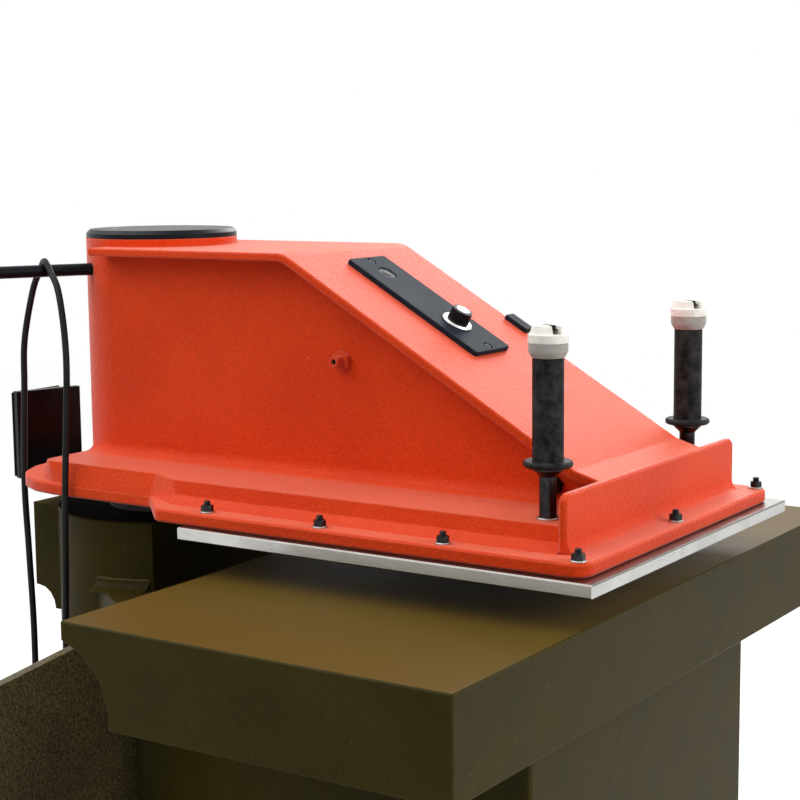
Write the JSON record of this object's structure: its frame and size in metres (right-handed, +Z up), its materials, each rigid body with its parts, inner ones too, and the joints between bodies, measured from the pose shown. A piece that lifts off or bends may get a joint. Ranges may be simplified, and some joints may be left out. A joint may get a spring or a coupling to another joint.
{
  "type": "swing arm cutting press",
  "caption": "Floor-standing swing arm cutting press with a pivoting arm, strike plate, two-hand grips, cutting table and rear hydraulic cabinet.",
  "frame": {"origin": "on the floor, on the vertical axis of the column that carries the arm", "axes": "+Z up; the operator stands at -Y, and +X is on the operator's right"},
  "size_m": [1.0086, 1.1502, 1.2901],
  "materials": {
    "orange_paint": "semi-gloss orange-red machine enamel over a cast surface",
    "olive_paint": "glossy dark olive machine enamel over castings and sheet",
    "ground_steel": "ground steel",
    "blackened_steel": "blackened steel",
    "bearing_bronze": "turned bearing bronze",
    "black_rubber": "matte black rubber",
    "black_plastic": "black moulded plastic",
    "grey_plastic": "grey moulded plastic",
    "white_plastic": "off-white moulded plastic",
    "satin_aluminium": "satin aluminium",
    "grey_paint": "grey machine enamel"
  },
  "bodies": {
    "base": {"base_plate": "olive_paint", "pedestal": "olive_paint", "cutting_table": "olive_paint", "column_housing": "olive_paint", "column_bush": "bearing_bronze", "wiper_ring": "black_rubber", "wing_plate_near": "olive_paint", "wing_plate_far": "olive_paint", "rear_cabinet": "olive_paint", "hydraulic_cylinder": "grey_paint", "oil_tank": "grey_paint", "solenoid_valve": "ground_steel", "electric_motor": "grey_paint", "gear_pump": "blackened_steel", "pressure_hose": "black_rubber", "suction_pipe": "ground_steel", "electric_box": "black_plastic", "box_bracket": "olive_paint", "switch_plate": "grey_plastic", "junction_box": "grey_plastic", "gland_front": "black_plastic", "gland_rear": "black_plastic"},
    "door": {"rear_door": "olive_paint", "door_handle": "blackened_steel"},
    "switch": {"switch_knob": "black_plastic"},
    "carriage": {"pillar": "ground_steel", "piston_rod": "ground_steel", "thrust_bearing": "ground_steel", "retaining_nut": "blackened_steel", "hanging_lead": "black_rubber"},
    "arm": {"arm_casting": "orange_paint", "hub_bush": "bearing_bronze", "column_cap": "blackened_steel", "strike_plate": "ground_steel", "control_panel": "black_plastic", "edge_clip": "black_plastic", "cable_bar": "blackened_steel", "hex_fitting_near": "orange_paint", "hex_fitting_far": "orange_paint", "plate_stud_1": "blackened_steel", "plate_stud_2": "blackened_steel", "plate_stud_3": "blackened_steel", "plate_stud_4": "blackened_steel", "plate_stud_5": "blackened_steel", "plate_stud_6": "blackened_steel", "plate_stud_7": "blackened_steel", "plate_stud_8": "blackened_steel", "plate_stud_9": "blackened_steel", "handle_rod_near": "blackened_steel", "hand_grip_near": "black_rubber", "grip_ring_near": "grey_plastic", "button_guard_near": "white_plastic", "handle_rod_far": "blackened_steel", "hand_grip_far": "black_rubber", "grip_ring_far": "grey_plastic", "button_guard_far": "white_plastic"},
    "button_near": {"thumb_button_near": "white_plastic"},
    "button_far": {"thumb_button_far": "white_plastic"},
    "knob": {"control_knob": "black_plastic", "knob_skirt": "satin_aluminium"}
  },
  "joints": [
    {"name": "stroke", "type": "slide", "parent": "base", "child": "carriage", "axis": [0, 0, 1], "range_m": [-0.03, 0], "stiffness_N_per_m": 20000, "springref_m": 0.2},
    {"name": "arm_swing", "type": "hinge", "parent": "carriage", "child": "arm", "pos_m": [0, 0, 0.94], "axis": [0, 0, 1], "range_deg": [-90, 90], "deforming": ["hanging_lead"]},
    {"name": "thumb_press_near", "type": "slide", "parent": "arm", "child": "button_near", "axis": [0, 0, 1], "range_m": [-0.003, 0], "stiffness_N_per_m": 600, "springref_m": 0.003},
    {"name": "thumb_press_far", "type": "slide", "parent": "arm", "child": "button_far", "axis": [0, 0, 1], "range_m": [-0.003, 0], "stiffness_N_per_m": 600, "springref_m": 0.003},
    {"name": "knob_turn", "type": "hinge", "parent": "arm", "child": "knob", "pos_m": [0, -0.45979, 1.17785], "axis": [0, -0.5, 0.866], "range_deg": [-150, 150]},
    {"name": "door_swing", "type": "hinge", "parent": "base", "child": "door", "pos_m": [0.476, 0.341, 0.3], "axis": [0, 0, -1], "range_deg": [0, 110]},
    {"name": "switch_turn", "type": "hinge", "parent": "base", "child": "switch", "pos_m": [-0.488, 0.12, 0.44], "axis": [1, 0, 0], "range_deg": [0, 90]}
  ]
}
